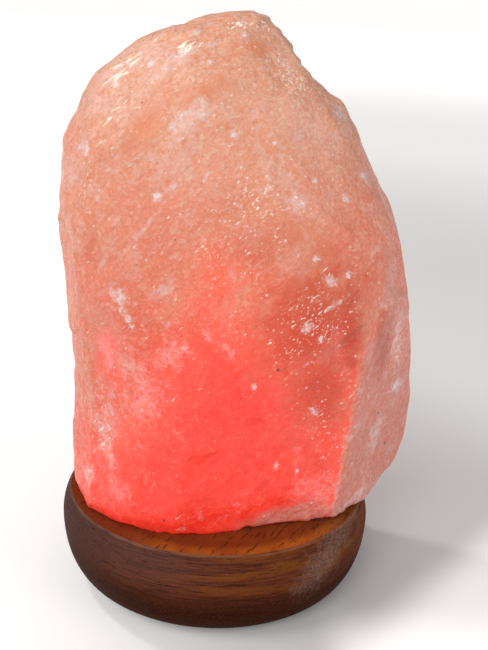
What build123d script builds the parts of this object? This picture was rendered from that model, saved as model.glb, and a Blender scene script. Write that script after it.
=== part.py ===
# Salt crystal lamp: a hewn salt crystal on a turned wooden base, lit from inside by a small bulb.
#
# Millimetres. +Z is up, the origin is the centre of the underside on the table, the front faces -Y
# and +X is on the right. Heights that end in _z are above the table.
from build123d import *
import os
from math import cos, pi, radians, sin, sqrt

os.makedirs("parts", exist_ok=True)

# Clearances
seat_gap = 0.05  # between fixed pieces that sit in or on each other
free_gap = 0.3  # between pieces that slide or turn past each other
thread_gap = 0.25  # between the bulb's screw cap and the shell that it turns in

# Turned wooden base and the felt under it
felt_thickness = 1.5
felt_outer_radius = 35.5
felt_inner_radius = 22.0
wood_height = 28.5
belly_radius = 50.0
belly_height = 20.0  # of the widest place, above the wood's underside
foot_radius = 40.0
rim_radius = 48.0
rim_chamfer = 0.6
bore_radius = 19.0
cord_groove_width = 8.0
cord_groove_depth = 8.0

# Screws that hold the crystal to the base
screw_spacing = 60.0
screw_radius = 2.4
screw_head_radius = 4.5
screw_head_height = 2.6
screw_recess = 7.0  # depth of the head's seat, above the wood's underside
screw_bite = 16.0  # length in the crystal
screw_tip = 3.0
screw_slot_width = 1.2
screw_slot_depth = 1.3

# Hewn crystal: how far it reaches from the base's axis at its widest, and its height
crystal_height = 148.6
crystal_left = 48.8
crystal_right = 65.0
crystal_front = 42.0
crystal_back = 39.0
crystal_squareness = 2.5  # 2 is an ellipse in plan, larger is boxier
crystal_sides = 20
crystal_chipping = 0.012  # how uneven the hewn sides are, as a share of their reach
cavity_radius = 20.0
cavity_depth = 62.0
cavity_point = 6.0

# The crystal's outline, as shares of the sizes above: height, left, right, front, back
crystal_outline = [
    (0.00, 0.93, 0.80, 0.85, 0.90),
    (0.04, 0.93, 0.92, 0.92, 0.95),
    (0.13, 0.92, 1.00, 0.98, 1.00),
    (0.27, 0.93, 0.92, 1.00, 1.00),
    (0.45, 0.97, 0.865, 0.97, 0.97),
    (0.62, 1.00, 0.785, 0.90, 0.90),
    (0.74, 0.98, 0.615, 0.77, 0.84),
    (0.80, 0.905, 0.54, 0.67, 0.78),
    (0.87, 0.80, 0.39, 0.51, 0.68),
    (0.95, 0.49, 0.245, 0.23, 0.49),
    (1.00, -0.06, 0.10, -0.06, 0.30),
]

# Cleavage faces: direction seen from above (0 is +X, 90 is +Y), tilt upwards, and distance from
# the point on the axis at mid height
cleavage_faces = {
    "right": (-33.0, -8.6, 54.5),
    "front": (-75.0, -10.0, 44.6),
    "back left": (128.0, 4.0, 43.0),
    "back right": (58.0, -3.0, 47.0),
    "crown": (196.0, 48.0, 79.0),
    "shoulder": (-8.0, 29.0, 52.0),
}

# Bulb: a small tubular lamp with a 14 mm screw cap
bulb_length = 54.0
bulb_radius = 11.0
bulb_neck_radius = 7.3
bulb_neck_length = 2.5
bulb_shoulder_height = 7.0
bulb_wall = 0.7
cap_height = 25.0
cap_thread_radius = 6.95
cap_thread_depth = 0.75
cap_thread_pitch = 2.82
cap_thread_turns = 5
cap_sheet = 0.4
cap_flare_radius = 8.5
cap_flare_height = 3.0
cap_flare_slope = 1.2  # height of the flare's cone
cap_flare_seat = 1.6  # depth of the rim that holds the glass
insulator_height = 3.0
insulator_lip = 1.2
tip_radius = 2.4
tip_height = 1.2  # below the insulator
tip_bevel = 0.8
stem_radius = 2.4
stem_foot_height = 5.0
stem_rim = 0.8
stem_height = 11.0
pinch_width = 7.0
pinch_thickness = 2.0
pinch_height = 3.0
lead_radius = 0.3
lead_height = 6.5
filament_radius = 0.25
filament_spread = 10.0
filament_rise = 4.0

# Bulb holder and the spring clip that grips the bore
holder_radius = 14.0
holder_wall = 1.6
holder_height = 35.0
cap_body_height = 9.0
cap_floor = 3.0
cap_foot_radius = 9.0
cap_foot_height = 5.0
spigot_height = 7.0
grip_count = 24
grip_radius = 0.7
block_flange = 3.8
block_boss_height = 8.0
block_floor = 3.5
block_flange_seat = 1.0  # height of the screw shell's seat above the flange's underside
well_gap = 0.2  # between the well's wall and the line of the shell's bore
skirt_lip = 1.6
skirt_chamfer = 1.0
shell_sheet = 0.35
shell_flange = 1.2
contact_sheet = 0.5
contact_width = 4.0
contact_foot = 4.4
contact_inset = 0.8  # of the centre contact's upright part from the well's wall
tongue_height = 2.2  # of the centre contact above the well's floor
terminal_radius = 1.2
terminal_head_radius = 2.1
terminal_head_height = 1.9
terminal_slot = 0.6
terminal_end_gap = 0.5
nipple_radius = 5.0
nipple_bore_radius = 3.5
nut_across_flats = 14.0
nut_height = 3.0
nipple_end = 2.7  # how far the nipple stands out below the nut
clip_z = 13.2
clip_sheet = 0.8
clip_width = 12.0
clip_bow_height = 13.2  # of the widest place of the arms, above the flat middle
clip_arm_height = 22.0
clip_bend = 2.5
clip_tip_gap = 0.8  # between the ends of the arms and the holder

# Heights and radii that follow
wood_z = felt_thickness
top_z = wood_z + wood_height
crystal_middle_z = top_z + crystal_height / 2
cap_z = clip_z + clip_sheet
collar_z = cap_z + cap_body_height
spigot_z = collar_z + spigot_height
holder_top_z = cap_z + holder_height
nipple_z = clip_z - nut_height - nipple_end
spigot_radius = holder_radius - holder_wall
block_radius = spigot_radius - seat_gap
block_boss_radius = spigot_radius - holder_wall - seat_gap
block_z = spigot_z - block_boss_height
block_top_z = spigot_z + block_flange
well_floor_z = block_z + block_floor
thread_root_radius = cap_thread_radius - cap_thread_depth
shell_inner_radius = thread_root_radius + thread_gap
shell_outer_radius = cap_thread_radius + thread_gap + shell_sheet
shell_z = spigot_z + block_flange_seat
flange_radius = shell_outer_radius + shell_flange
contact_top_z = well_floor_z + tongue_height
tip_z = contact_top_z + free_gap
insulator_z = tip_z + tip_height
thread_z = insulator_z + insulator_height
flare_z = tip_z + cap_height - cap_flare_height
glass_z = tip_z + cap_height - cap_flare_seat
bulb_top_z = tip_z + bulb_length
stem_z = glass_z
pinch_z = stem_z + stem_height
lead_top_z = pinch_z + lead_height


def rod(radius, low, high, x=0.0, y=0.0):
    """A round bar along Z, between two heights."""
    return Pos(x, y, low) * Cylinder(radius, high - low, align=(Align.CENTER, Align.CENTER, Align.MIN))


def block(width, depth, low, high, x=0.0, y=0.0):
    """A rectangular bar along Z, centred on x and y."""
    centred = (Align.CENTER, Align.CENTER, Align.MIN)
    return Pos(x, y, low) * Box(width, depth, high - low, align=centred)


def turned(corners):
    """A body of revolution about Z from its (radius, height) corners."""
    outline = Polyline([(radius, 0, height) for radius, height in corners], close=True)
    return revolve(make_face(outline), Axis.Z)


def bent_strip(points, thickness, width, bend):
    """A sheet strip that follows (x, z) points, centred on Y."""
    route = FilletPolyline([(x, 0, z) for x, z in points], radius=bend)
    across = Plane(origin=route @ 0, x_dir=(0, 1, 0), z_dir=route % 0)
    return sweep(across * Rectangle(width, thickness), path=route)


def screw_places():
    """The (x, y) of each screw between base and crystal."""
    return [(side * screw_spacing / 2, 0.0) for side in (-1, 1)]


def cord_slot(low, high):
    """The way for the cord, from the bore straight out of the back."""
    length = belly_radius + bore_radius
    return block(cord_groove_width, length, low, high, y=length / 2)


# Wooden base

def wood_base():
    belly_z = wood_z + belly_height
    under_belly = EllipticalCenterArc(
        (foot_radius, belly_z), belly_radius - foot_radius, belly_height, start_angle=270, arc_size=90
    )
    shoulder = (rim_radius, top_z - rim_chamfer)
    over_belly = TangentArc((belly_radius, belly_z), shoulder, tangent=(0, 1))
    closing = Polyline(
        shoulder, (rim_radius - rim_chamfer, top_z), (0, top_z), (0, wood_z), (foot_radius, wood_z)
    )
    outline = Plane.XZ * make_face(under_belly + over_belly + closing)
    base = revolve(outline, Axis.Z)
    base -= rod(bore_radius, wood_z, top_z)
    base -= cord_slot(wood_z, wood_z + cord_groove_depth)
    for x, y in screw_places():
        base -= rod(screw_radius + seat_gap, wood_z, top_z, x, y)
        base -= rod(screw_head_radius + free_gap, wood_z, wood_z + screw_recess, x, y)
    return base


def felt_ring():
    ring = rod(felt_outer_radius, 0, felt_thickness) - rod(felt_inner_radius, 0, felt_thickness)
    return ring - cord_slot(0, felt_thickness)


def crystal_screw(x, y):
    seat_z = wood_z + screw_recess
    head_z = seat_z - screw_head_height
    end_z = top_z + screw_bite
    screw = turned([
        (0, head_z),
        (screw_head_radius, head_z),
        (screw_head_radius, seat_z),
        (screw_radius, seat_z),
        (screw_radius, end_z - screw_tip),
        (0, end_z),
    ])
    for turn in (0, 90):
        arm = block(2 * screw_radius, screw_slot_width, head_z, head_z + screw_slot_depth)
        screw -= Rot(0, 0, turn) * arm
    return Pos(x, y, 0) * screw


# Crystal

def crystal_section(layer, share, left, right, front, back):
    """One level of the crystal: a many-sided outline through its four reaches, unevenly chipped."""
    x_low, x_high = -left * crystal_left, right * crystal_right
    y_low, y_high = -front * crystal_front, back * crystal_back
    corners = []
    for side in range(crystal_sides):
        angle = 2 * pi * side / crystal_sides
        chip = 1 + crystal_chipping * sin(3 * angle + 2.1 * layer)
        reach = (abs(cos(angle)) ** crystal_squareness + abs(sin(angle)) ** crystal_squareness)
        reach = chip * reach ** (-1 / crystal_squareness)
        x = (x_low + x_high) / 2 + reach * cos(angle) * (x_high - x_low) / 2
        y = (y_low + y_high) / 2 + reach * sin(angle) * (y_high - y_low) / 2
        corners.append((x, y, top_z + share * crystal_height))
    return make_face(Polyline(corners, close=True))


def cleaved(crystal, direction, tilt, distance):
    """The crystal with what lies beyond one flat cleavage face split off."""
    level = cos(radians(tilt))
    outwards = Vector(level * cos(radians(direction)), level * sin(radians(direction)), sin(radians(tilt)))
    middle = Vector(0, 0, crystal_middle_z)
    return split(crystal, bisect_by=Plane(middle + outwards * distance, z_dir=outwards), keep=Keep.BOTTOM)


def salt_crystal():
    sections = [crystal_section(layer, *row) for layer, row in enumerate(crystal_outline)]
    crystal = loft(sections, ruled=True)
    for face in cleavage_faces.values():
        crystal = cleaved(crystal, *face)
    drilled_z = top_z + cavity_depth
    crystal -= turned([
        (0, top_z),
        (cavity_radius, top_z),
        (cavity_radius, drilled_z),
        (0, drilled_z + cavity_point),
    ])
    for x, y in screw_places():
        pilot = rod(screw_radius + seat_gap, top_z, top_z + screw_bite + seat_gap, x, y)
        crystal -= pilot
    return crystal


# Bulb holder

def spring_clip():
    """A strip with a flat middle under the holder and two arms that bow out against the bore."""
    corner = sqrt((bore_radius - free_gap) ** 2 - (clip_width / 2) ** 2)
    bow = corner - clip_sheet / 2
    middle_z = clip_z + clip_sheet / 2
    bow_z = middle_z + clip_bow_height
    end_z = middle_z + clip_arm_height
    arm = [
        (cap_foot_radius + clip_bend, middle_z),
        (holder_radius + clip_sheet + free_gap, cap_z + cap_foot_height - 1),
        (bow, bow_z),
        (holder_radius + clip_sheet + clip_tip_gap, end_z),
    ]
    mirrored = [(-x, z) for x, z in reversed(arm)]
    clip = bent_strip(mirrored + arm, clip_sheet, clip_width, clip_bend)
    return clip - rod(nipple_radius + seat_gap, clip_z - 1, cap_z + 1)


def threaded_nipple():
    top = cap_z + cap_floor
    return rod(nipple_radius, nipple_z, top) - rod(nipple_bore_radius, nipple_z, top)


def nipple_nut():
    hexagon = RegularPolygon(nut_across_flats / 2, 6, major_radius=False)
    nut = extrude(Pos(0, 0, clip_z - nut_height) * hexagon, nut_height)
    return nut - rod(nipple_radius + seat_gap, clip_z - nut_height, clip_z)


def holder_cap():
    """The lower shell: a ribbed collar over a coned foot, with a spigot that the skirt fits over."""
    cap = turned([
        (0, cap_z),
        (cap_foot_radius, cap_z),
        (holder_radius, cap_z + cap_foot_height),
        (holder_radius, collar_z),
        (spigot_radius, collar_z),
        (spigot_radius, spigot_z),
        (0, spigot_z),
    ])
    cap -= rod(spigot_radius - holder_wall, cap_z + cap_floor, spigot_z)
    cap -= rod(nipple_radius + seat_gap, cap_z, cap_z + cap_floor)
    for rib in range(grip_count):
        angle = 2 * pi * rib / grip_count
        x, y = holder_radius * cos(angle), holder_radius * sin(angle)
        cap -= rod(grip_radius, cap_z + cap_foot_height, collar_z, x, y)
    return cap


def holder_skirt():
    """The upper shell: it clamps the contact block and covers the screw shell."""
    mouth_radius = cap_thread_radius + free_gap
    inner_radius = spigot_radius + seat_gap
    return turned([
        (inner_radius, collar_z),
        (holder_radius, collar_z),
        (holder_radius, holder_top_z - skirt_chamfer),
        (holder_radius - skirt_chamfer, holder_top_z),
        (mouth_radius, holder_top_z),
        (mouth_radius, holder_top_z - skirt_lip),
        (inner_radius - holder_wall, holder_top_z - skirt_lip),
        (inner_radius - holder_wall, block_top_z),
        (inner_radius, block_top_z),
    ])


def contact_leg(side):
    """The x of a contact's upright part: side -1 is the centre contact, 1 the side contact."""
    if side > 0:
        return shell_outer_radius + shell_flange / 2
    return -(shell_inner_radius + well_gap - contact_inset)


def terminal_place(side):
    """The x of the screw that clamps the wire to a contact's foot."""
    return contact_leg(side) - side * contact_foot / 2


def contact_block():
    """The insulating insert that carries the contacts, their screws and the screw shell."""
    insert = turned([
        (0, block_z),
        (block_boss_radius, block_z),
        (block_boss_radius, spigot_z),
        (block_radius, spigot_z),
        (block_radius, block_top_z),
        (0, block_top_z),
    ])
    insert -= rod(flange_radius + seat_gap, shell_z, block_top_z)
    insert -= rod(shell_inner_radius + well_gap, well_floor_z, shell_z)
    slot = contact_sheet + 2 * seat_gap
    for side in (-1, 1):
        insert -= rod(terminal_radius + seat_gap, block_z, well_floor_z, x=terminal_place(side))
        insert -= block(slot, contact_width + 2 * seat_gap, block_z, shell_z, x=contact_leg(side))
    return insert


def contact_strip(side, upper_route):
    """A strip from its foot under the block up through it, with a hole for the terminal screw."""
    leg = contact_leg(side)
    foot_z = block_z - seat_gap - contact_sheet / 2
    route = [(leg - side * contact_foot, foot_z), (leg, foot_z)] + upper_route
    strip = bent_strip(route, contact_sheet, contact_width, 0.6 * contact_sheet)
    hole = rod(terminal_radius + seat_gap, block_z - 1, block_z + 1, x=terminal_place(side))
    return strip - hole


def centre_contact():
    """The strip that rises in the well and reaches over under the bulb's tip."""
    tongue_z = contact_top_z - contact_sheet / 2
    return contact_strip(-1, [(contact_leg(-1), tongue_z), (tip_radius, tongue_z)])


def side_contact():
    """The strip that stands under the screw shell's flange."""
    return contact_strip(1, [(contact_leg(1), shell_z)])


def terminal_screw(side):
    x = terminal_place(side)
    seat_z = block_z - seat_gap - contact_sheet
    head_z = seat_z - terminal_head_height
    head = rod(terminal_head_radius, head_z, seat_z, x=x)
    head -= block(2 * terminal_head_radius, terminal_slot, head_z, head_z + terminal_slot, x=x)
    return head + rod(terminal_radius, seat_z, well_floor_z - terminal_end_gap, x=x)


def thread_rings(root_radius, crest_radius, low):
    """The (radius, height) corners of the ring-shaped screw ridges, from the bottom up."""
    corners = [(root_radius, low)]
    for turn in range(cap_thread_turns):
        corners.append((crest_radius, low + (turn + 0.5) * cap_thread_pitch))
        corners.append((root_radius, low + (turn + 1) * cap_thread_pitch))
    return corners


def screw_shell():
    """The threaded brass sleeve that the bulb turns in, with a flange at its foot."""
    inner = thread_rings(shell_inner_radius, cap_thread_radius + thread_gap, thread_z)
    outer = [(radius + shell_sheet, height) for radius, height in inner]
    shell = turned([(shell_inner_radius, shell_z)] + inner + outer[::-1] + [
        (shell_inner_radius + shell_sheet, shell_z + shell_sheet),
        (flange_radius, shell_z + shell_sheet),
        (flange_radius, shell_z),
    ])
    return shell


# Bulb

def bulb_cap():
    """The sheet-metal screw cap: thread, plain neck and a flared rim round the glass."""
    rim_radius_inside = bulb_neck_radius + seat_gap
    outer = thread_rings(thread_root_radius, cap_thread_radius, thread_z)
    outer += [
        (thread_root_radius, flare_z),
        (cap_flare_radius, flare_z + cap_flare_slope),
        (cap_flare_radius, flare_z + cap_flare_height),
    ]
    lining = thread_root_radius - cap_sheet
    inner = [
        (rim_radius_inside, flare_z + cap_flare_height),
        (rim_radius_inside, glass_z),
        (lining, glass_z),
        (lining, thread_z),
    ]
    return turned(outer + inner)


def bulb_insulator():
    """The black glass ring between the cap and the contact at its tip."""
    outside = thread_root_radius - cap_sheet - seat_gap
    inside = tip_radius + seat_gap
    top = thread_z + insulator_lip
    return turned([
        (inside, insulator_z),
        (inside + insulator_lip, insulator_z),
        (outside, thread_z),
        (outside, top),
        (inside, top),
    ])


def bulb_tip():
    """The round solder contact under the bulb."""
    return turned([
        (0, tip_z),
        (tip_radius - tip_bevel, tip_z),
        (tip_radius, tip_z + tip_bevel),
        (tip_radius, thread_z + insulator_lip),
        (0, thread_z + insulator_lip),
    ])


def bulb_shape(inset):
    """The bulb's rounded tube, closed at the top and straight at the neck."""
    neck, body = bulb_neck_radius - inset, bulb_radius - inset
    top = bulb_top_z - inset
    low = glass_z + seat_gap
    shoulder_low = glass_z + bulb_neck_length
    shoulder_high = shoulder_low + bulb_shoulder_height
    bend = (shoulder_low + shoulder_high) / 2
    neck_side = Line((0, low), (neck, low)) + Line((neck, low), (neck, shoulder_low))
    shoulder = Spline(
        (neck, shoulder_low), ((neck + body) / 2, bend), (body, shoulder_high),
        tangents=[(0, 1), (0, 1)],
    )
    side = Line((body, shoulder_high), (body, top - body))
    dome = ThreePointArc(
        (body, top - body), (body * sin(pi / 4), top - body + body * cos(pi / 4)), (0, top)
    )
    closing = Line((0, top), (0, low))
    return revolve(Plane.XZ * make_face(neck_side + shoulder + side + dome + closing), Axis.Z)


def bulb_glass():
    return bulb_shape(0) - bulb_shape(bulb_wall)


def bulb_stem():
    """The glass mount that closes the neck and pinches the wires."""
    foot = bulb_neck_radius - bulb_wall - seat_gap
    mount = turned([
        (0, stem_z),
        (foot, stem_z),
        (foot, stem_z + stem_rim),
        (stem_radius, stem_z + stem_foot_height),
        (stem_radius, pinch_z - pinch_height),
        (0, pinch_z - pinch_height),
    ])
    return mount + block(pinch_width, pinch_thickness, pinch_z - pinch_height, pinch_z)


def bulb_lead(side):
    """One wire from the pinch up and out to the end of the filament."""
    foot = (side * (pinch_width / 2 - 1), 0, pinch_z)
    tip = (side * filament_spread / 2, 0, lead_top_z)
    run = Line(foot, tip)
    wire = sweep(Plane(origin=foot, z_dir=run % 0) * Circle(lead_radius), path=run)
    return wire - block(pinch_width, pinch_thickness, pinch_z - 1, pinch_z)


def filament_support():
    """The thin post from the pinch that carries the middle of the filament."""
    return rod(lead_radius, pinch_z, filament_low_z() + filament_rise - filament_radius - seat_gap)


def filament_low_z():
    """The height of the filament's ends, just above the leads."""
    return lead_top_z + lead_radius + seat_gap


def bulb_filament():
    """The glowing wire, bowed from lead to lead over the post."""
    low = filament_low_z()
    half = filament_spread / 2
    bow = ThreePointArc((-half, 0, low), (0, 0, low + filament_rise), (half, 0, low))
    return sweep(Plane(origin=bow @ 0, z_dir=bow % 0) * Circle(filament_radius), path=bow)


parts = {
    "wood_base": wood_base(),
    "felt_ring": felt_ring(),
    "salt_crystal": salt_crystal(),
    "crystal_screws": Compound([crystal_screw(x, y) for x, y in screw_places()]),
    "threaded_nipple": threaded_nipple(),
    "nipple_nut": nipple_nut(),
    "spring_clip": spring_clip(),
    "holder_cap": holder_cap(),
    "holder_skirt": holder_skirt(),
    "contact_block": contact_block(),
    "centre_contact": centre_contact(),
    "side_contact": side_contact(),
    "terminal_screws": Compound([terminal_screw(side) for side in (-1, 1)]),
    "screw_shell": screw_shell(),
    "bulb_cap": bulb_cap(),
    "bulb_insulator": bulb_insulator(),
    "bulb_tip": bulb_tip(),
    "bulb_glass": bulb_glass(),
    "bulb_stem": bulb_stem(),
    "bulb_leads": Compound([bulb_lead(side) for side in (-1, 1)]),
    "filament_support": filament_support(),
    "bulb_filament": bulb_filament(),
}

for name, shape in parts.items():
    export_step(shape, f"parts/{name}.step")
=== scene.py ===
import math

import bmesh
import bpy
import numpy as np
from mathutils import Matrix, Vector
from mathutils.bvhtree import BVHTree


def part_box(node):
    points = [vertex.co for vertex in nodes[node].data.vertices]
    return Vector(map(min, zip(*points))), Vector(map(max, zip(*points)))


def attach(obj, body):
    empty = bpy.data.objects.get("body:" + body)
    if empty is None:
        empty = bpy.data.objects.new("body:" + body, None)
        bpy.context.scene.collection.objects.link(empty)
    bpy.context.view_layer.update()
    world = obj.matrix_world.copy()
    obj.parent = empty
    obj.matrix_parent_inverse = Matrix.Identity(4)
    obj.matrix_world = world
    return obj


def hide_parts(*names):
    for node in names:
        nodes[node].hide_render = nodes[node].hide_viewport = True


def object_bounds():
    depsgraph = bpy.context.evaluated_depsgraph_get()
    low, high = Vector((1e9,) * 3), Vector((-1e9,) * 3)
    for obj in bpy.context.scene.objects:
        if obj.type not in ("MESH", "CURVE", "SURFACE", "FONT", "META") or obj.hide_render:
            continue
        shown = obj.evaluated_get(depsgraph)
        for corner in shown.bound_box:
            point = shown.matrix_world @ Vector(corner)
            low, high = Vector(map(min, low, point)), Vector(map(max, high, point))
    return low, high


# Lengths are in metres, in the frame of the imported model: +Z up, the front faces -Y.
# Colours are red, green and blue from 0 to 1, in linear light.

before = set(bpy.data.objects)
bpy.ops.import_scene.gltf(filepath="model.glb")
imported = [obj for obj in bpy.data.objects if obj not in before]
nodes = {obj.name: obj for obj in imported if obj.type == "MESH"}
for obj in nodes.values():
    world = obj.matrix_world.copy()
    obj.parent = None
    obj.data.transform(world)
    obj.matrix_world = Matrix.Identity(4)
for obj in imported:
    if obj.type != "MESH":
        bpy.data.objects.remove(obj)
cad_low, cad_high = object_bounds()
scene = bpy.context.scene


# ---------------------------------------------------------------- camera

image_width, image_height = 488, 650
focal_pixels = 1000.0
sensor_width = 36.0
near_clip, far_clip = 0.01, 50.0
camera_place = Vector((0.0069, -0.2985, 0.1835))
camera_dip = math.radians(18.4)
camera_roll = math.radians(2.53)

ahead = Vector((0, math.cos(camera_dip), -math.sin(camera_dip)))
level_right = Vector((1, 0, 0))
level_up = level_right.cross(ahead)
image_right = level_right * math.cos(camera_roll) + level_up * math.sin(camera_roll)
image_up = level_up * math.cos(camera_roll) - level_right * math.sin(camera_roll)


def make_camera():
    data = bpy.data.cameras.new("camera")
    data.sensor_fit = "AUTO"
    data.sensor_width = sensor_width
    data.lens = sensor_width * focal_pixels / image_height
    data.clip_start, data.clip_end = near_clip, far_clip
    camera = bpy.data.objects.new("camera", data)
    scene.collection.objects.link(camera)
    turn = Matrix((image_right, image_up, -ahead)).transposed()
    camera.matrix_world = Matrix.Translation(camera_place) @ turn.to_4x4()
    scene.camera = camera


def sight_line(u, v):
    """The direction from the camera through a point of the 488 x 650 image."""
    across = (u - image_width / 2) / focal_pixels
    down = (v - image_height / 2) / focal_pixels
    return (ahead + image_right * across - image_up * down).normalized()


def seen_place(skin, u, v):
    """Where the line of sight through (u, v) meets skin. One that just misses its rim moves in."""
    place = None
    while place is None:
        place = skin.ray_cast(camera_place, sight_line(u, v))[0]
        u += math.copysign(1, image_width / 2 - u)
    return place


# ---------------------------------------------------------------- node graphs

# The sockets of a Mix node that carry colours
mix_share, mix_first, mix_second, mix_result = 0, 6, 7, 2

# How far a painted patch reaches in front of the skin and behind it
patch_depth = 0.020


class Finish:
    """A material built up in code around one Principled shader."""

    def __init__(self, name):
        self.material = bpy.data.materials.new(name)
        self.material.use_nodes = True
        self.tree = self.material.node_tree
        self.shader = self.tree.nodes["Principled BSDF"]
        self.place = self.add("ShaderNodeTexCoord").outputs["Object"]

    def add(self, kind, **settings):
        node = self.tree.nodes.new(kind)
        for key, value in settings.items():
            setattr(node, key, value)
        return node

    def plug(self, socket, value):
        if isinstance(value, bpy.types.NodeSocket):
            self.tree.links.new(value, socket)
        elif value is not None:
            socket.default_value = value

    def set(self, socket_name, value):
        self.plug(self.shader.inputs[socket_name], value)

    def math(self, operation, a, b=None):
        node = self.add("ShaderNodeMath", operation=operation)
        self.plug(node.inputs[0], a)
        self.plug(node.inputs[1], b)
        return node.outputs[0]

    def plus(self, a, b):
        return self.math("ADD", a, b)

    def minus(self, a, b):
        return self.math("SUBTRACT", a, b)

    def times(self, a, b):
        return self.math("MULTIPLY", a, b)

    def larger(self, a, b):
        return self.math("MAXIMUM", a, b)

    def vector(self, operation, a, b=None):
        node = self.add("ShaderNodeVectorMath", operation=operation)
        self.plug(node.inputs[0], a)
        self.plug(node.inputs[1], b)
        return node.outputs["Value" if operation in ("DOT_PRODUCT", "LENGTH") else "Vector"]

    def span(self, value, low, high, to_low=0.0, to_high=1.0, smooth=True):
        """value from low to high, as a number from to_low to to_high."""
        node = self.add("ShaderNodeMapRange", interpolation_type="SMOOTHSTEP" if smooth else "LINEAR")
        for socket, number in zip(node.inputs, (value, low, high, to_low, to_high)):
            self.plug(socket, number)
        return node.outputs[0]

    def dimmed(self, value, rest, smooth=True):
        """1 where value is 0, falling to rest where it is 1."""
        return self.span(value, 0.0, 1.0, 1.0, rest, smooth)

    def mix(self, share, a, b):
        """a where share is 0 and b where it is 1, each a colour or a socket."""
        node = self.add("ShaderNodeMix", data_type="RGBA", clamp_factor=True)
        for socket, value in ((mix_share, share), (mix_first, a), (mix_second, b)):
            self.plug(node.inputs[socket], (*value, 1) if isinstance(value, tuple) else value)
        return node.outputs[mix_result]

    def stretched(self, scale, turn=(0, 0, 0)):
        """The place on the object, turned and stretched, for noise that is drawn out one way."""
        node = self.add("ShaderNodeMapping", vector_type="TEXTURE")
        self.plug(node.inputs["Vector"], self.place)
        node.inputs["Rotation"].default_value = turn
        node.inputs["Scale"].default_value = scale
        return node.outputs[0]

    def noise(self, size, detail=3.0, rough=0.5, warp=0.0, place=None):
        """Smooth noise, from 0 to 1, whose features are about size metres apart."""
        node = self.add("ShaderNodeTexNoise")
        self.plug(node.inputs["Vector"], place or self.place)
        node.inputs["Scale"].default_value = 1 / size
        node.inputs["Detail"].default_value = detail
        node.inputs["Roughness"].default_value = rough
        node.inputs["Distortion"].default_value = warp
        return node.outputs[0]

    def cells(self, size, place=None):
        """A mosaic of cells about size metres across: its node, for their distances and colours."""
        node = self.add("ShaderNodeTexVoronoi")
        self.plug(node.inputs["Vector"], place or self.place)
        node.inputs["Scale"].default_value = 1 / size
        return node

    def axis(self, name, source=None):
        node = self.add("ShaderNodeSeparateXYZ")
        self.plug(node.inputs[0], source or self.place)
        return node.outputs[name]

    def patch(self, skin, u, v, length, width, slope, edge, waver):
        """1 in the middle of a patch, as far as edge of the way out, and 0 from its wavering rim on. It
        lies where the line of sight through (u, v) meets skin, sized and sloped as the camera sees it."""
        place = seen_place(skin, u, v)
        pixel = (place - camera_place).dot(ahead) / focal_pixels
        angle = math.radians(slope)
        along = image_right * math.cos(angle) + image_up * math.sin(angle)
        across = image_up * math.cos(angle) - image_right * math.sin(angle)
        node = self.add("ShaderNodeMapping", vector_type="TEXTURE")
        self.plug(node.inputs["Vector"], self.place)
        node.inputs["Location"].default_value = place
        node.inputs["Rotation"].default_value = Matrix((along, across, -ahead)).transposed().to_euler()
        # The ball is twice the patch's size: it falls from 1 in the middle to 0.5 at the patch's rim
        node.inputs["Scale"].default_value = (2 * length * pixel, 2 * width * pixel, 2 * patch_depth)
        ball = self.add("ShaderNodeTexGradient", gradient_type="SPHERICAL")
        self.plug(ball.inputs["Vector"], node.outputs[0])
        return self.span(self.minus(ball.outputs["Fac"], waver), 0.5, 1 - edge / 2)

    def painted(self, skin, places, ragged, fray=2.2):
        """How strongly a set of named places marks each point, from 0 to 1. Noise frays their rims."""
        strongest = 0.0
        waver = self.times(self.minus(ragged, 0.5), fray / 2)
        for u, v, length, width, slope, edge, strength in places.values():
            patch = self.patch(skin, u, v, length, width, slope, edge, waver)
            strongest = self.larger(strongest, self.times(patch, strength))
        return strongest

    def bump(self, height, distance, strength=1.0, over=None):
        node = self.add("ShaderNodeBump")
        self.plug(node.inputs["Height"], height)
        node.inputs["Distance"].default_value = distance
        self.plug(node.inputs["Strength"], strength)
        self.plug(node.inputs["Normal"], over)
        return node.outputs[0]


# ---------------------------------------------------------------- salt: where its markings are

# The plane of the split face on the right
crystal_middle = Vector((0, 0, 0.1043))
facet_distance = 0.0545
facet_direction = math.radians(-33.0)
facet_tilt = math.radians(-8.6)
facet_normal = Vector((
    math.cos(facet_tilt) * math.cos(facet_direction),
    math.cos(facet_tilt) * math.sin(facet_direction),
    math.sin(facet_tilt),
))

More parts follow.
